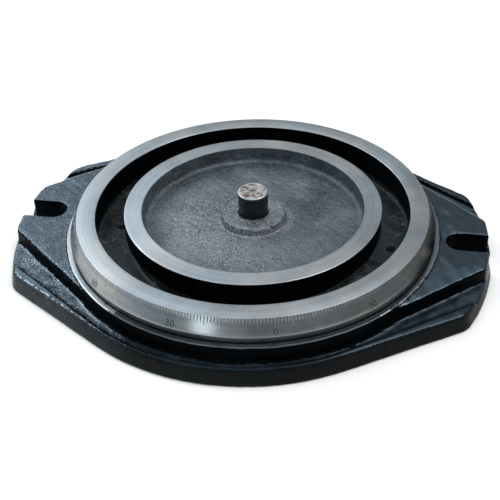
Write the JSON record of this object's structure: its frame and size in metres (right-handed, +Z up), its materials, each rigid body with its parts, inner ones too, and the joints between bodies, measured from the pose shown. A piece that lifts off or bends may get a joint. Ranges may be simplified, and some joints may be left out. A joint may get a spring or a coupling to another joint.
{
  "type": "machine vise swivel base",
  "caption": "Cast-iron swivel base with slotted lugs, a turning graduated ring, an annular T-slot, a dished hub plate and a pivot pin.",
  "frame": {"origin": "middle of the underside, on the axis of the pivot pin", "axes": "+X along the two lugs, +Z up along the pivot pin"},
  "size_m": [0.3306, 0.2816, 0.0462],
  "materials": {
    "black_enamel": "glossy black enamel over sand-cast iron",
    "turned_iron": "fine turned, satin",
    "raw_iron": "bare sand-cast, with a fine turned rim",
    "pin_steel": "dark steel with a rough, lightly rusted end",
    "black_oxide": "black oxide",
    "zinc_steel": "zinc plated"
  },
  "bodies": {
    "base": {"base_casting": "black_enamel", "hub_plate": "raw_iron", "pivot_pin": "pin_steel", "hub_screw_1": "black_oxide", "hub_screw_2": "black_oxide", "hub_screw_3": "black_oxide", "hub_screw_4": "black_oxide"},
    "ring": {"graduated_ring": "turned_iron", "ring_screw_1": "black_oxide", "ring_screw_2": "black_oxide", "ring_screw_3": "black_oxide", "ring_screw_4": "black_oxide", "ring_screw_5": "black_oxide", "ring_screw_6": "black_oxide", "ring_washer_1": "zinc_steel", "ring_washer_2": "zinc_steel", "ring_washer_3": "zinc_steel", "ring_washer_4": "zinc_steel", "ring_washer_5": "zinc_steel", "ring_washer_6": "zinc_steel"}
  },
  "joints": [
    {"name": "ring_swivel", "type": "hinge", "parent": "base", "child": "ring", "pos_m": [0, 0, 0.0285], "axis": [0, 0, 1], "range_deg": [-36, 4]}
  ]
}
